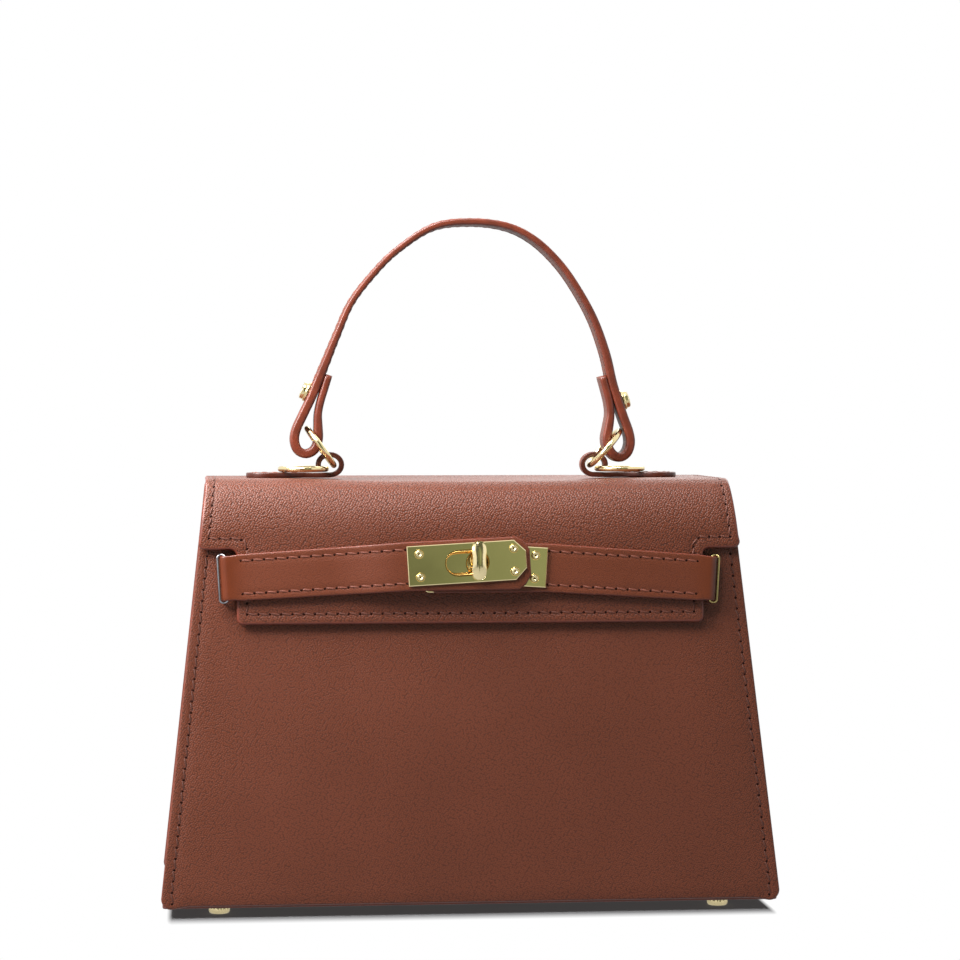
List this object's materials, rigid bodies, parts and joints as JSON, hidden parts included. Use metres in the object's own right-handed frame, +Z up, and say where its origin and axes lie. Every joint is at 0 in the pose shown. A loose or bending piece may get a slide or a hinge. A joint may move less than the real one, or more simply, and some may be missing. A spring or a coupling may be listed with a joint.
{
  "type": "handbag",
  "caption": "Structured leather top-handle handbag with a front flap, closing straps on a turning lock, metal rings and base feet.",
  "frame": {"origin": "on the ground under the middle of the bag, centred on the base", "axes": "+Z up, the front with the lock faces -Y, +X to the right as seen from the front"},
  "size_m": [0.28, 0.1159, 0.3165],
  "materials": {
    "leather": "fine pebble grain, reddish brown, satin",
    "lining": "smooth lining, matt",
    "board": "stiff fibre board",
    "gold_metal": "polished gold-coloured plating",
    "steel": "plain steel, hidden inside"
  },
  "bodies": {
    "bag_body": {"front_panel": "leather", "back_panel": "leather", "base_panel": "leather", "base_board": "board", "foot_front_left": "gold_metal", "foot_front_right": "gold_metal", "foot_rear_left": "gold_metal", "foot_rear_right": "gold_metal", "foot_washer_front_left": "steel", "foot_washer_front_right": "steel", "foot_washer_rear_left": "steel", "foot_washer_rear_right": "steel", "gusset_left": "leather", "gusset_right": "leather", "lining": "lining", "inner_pocket": "lining", "hinge_band": "leather", "strap_loop_left": "gold_metal", "strap_loop_right": "gold_metal", "loop_back_plate_left": "steel", "loop_back_plate_right": "steel"},
    "flap": {"flap_leather": "leather", "flap_lining": "lining", "lock_base_plate": "gold_metal", "tab_left": "leather", "tab_right": "leather"},
    "turning_knob": {"lock_knob": "gold_metal", "lock_clip": "steel"},
    "closing_strap_left": {"strap_left": "leather", "strap_plate_left": "gold_metal", "strap_rivet_left_1": "gold_metal", "strap_rivet_left_2": "gold_metal", "strap_rivet_left_3": "gold_metal", "strap_rivet_left_4": "gold_metal"},
    "closing_strap_right": {"strap_right": "leather", "strap_plate_right": "gold_metal", "strap_rivet_right_1": "gold_metal", "strap_rivet_right_2": "gold_metal", "strap_rivet_right_3": "gold_metal", "strap_rivet_right_4": "gold_metal"},
    "handle": {"handle_strap": "leather", "handle_ring_left": "gold_metal", "handle_ring_right": "gold_metal", "handle_stud_left": "gold_metal", "handle_stud_right": "gold_metal", "handle_nut_left": "gold_metal", "handle_nut_right": "gold_metal"},
    "strap_ring_left": {"shoulder_ring_left": "gold_metal"},
    "strap_ring_right": {"shoulder_ring_right": "gold_metal"}
  },
  "joints": [
    {"name": "flap_open", "type": "hinge", "parent": "bag_body", "child": "flap", "pos_m": [0, 0.04224, 0.19435], "axis": [-1, 0, 0], "range_deg": [0, 135]},
    {"name": "strap_left_swing", "type": "hinge", "parent": "bag_body", "child": "closing_strap_left", "pos_m": [-0.11071, -0.04839, 0.15177], "axis": [0.0582, -0.0794, -0.9951], "range_deg": [0, 170], "deforming": ["strap_left"]},
    {"name": "strap_right_swing", "type": "hinge", "parent": "bag_body", "child": "closing_strap_right", "pos_m": [0.10922, -0.04848, 0.15068], "axis": [0.0673, 0.0793, 0.9946], "range_deg": [0, 100], "deforming": ["strap_right"]},
    {"name": "lock_turn", "type": "hinge", "parent": "flap", "child": "turning_knob", "pos_m": [0.0024, -0.04369, 0.15861], "axis": [0, -0.9968, 0.0795], "range_deg": [0, 90]},
    {"name": "handle_tilt", "type": "hinge", "parent": "flap", "child": "handle", "pos_m": [0, 0, 0.2019], "axis": [1, 0, 0], "range_deg": [-20, 20]},
    {"name": "strap_ring_left_lift", "type": "hinge", "parent": "flap", "child": "strap_ring_left", "pos_m": [-0.06197, 0, 0.2019], "axis": [0, 1, 0], "range_deg": [0, 5]},
    {"name": "strap_ring_right_lift", "type": "hinge", "parent": "flap", "child": "strap_ring_right", "pos_m": [0.06197, 0, 0.2019], "axis": [0, -1, 0], "range_deg": [0, 5]}
  ],
  "couplings": [
    {"joint": "strap_left_swing", "follows": "flap_open", "ratio": 1.25},
    {"joint": "strap_right_swing", "follows": "flap_open", "ratio": 0.74}
  ]
}
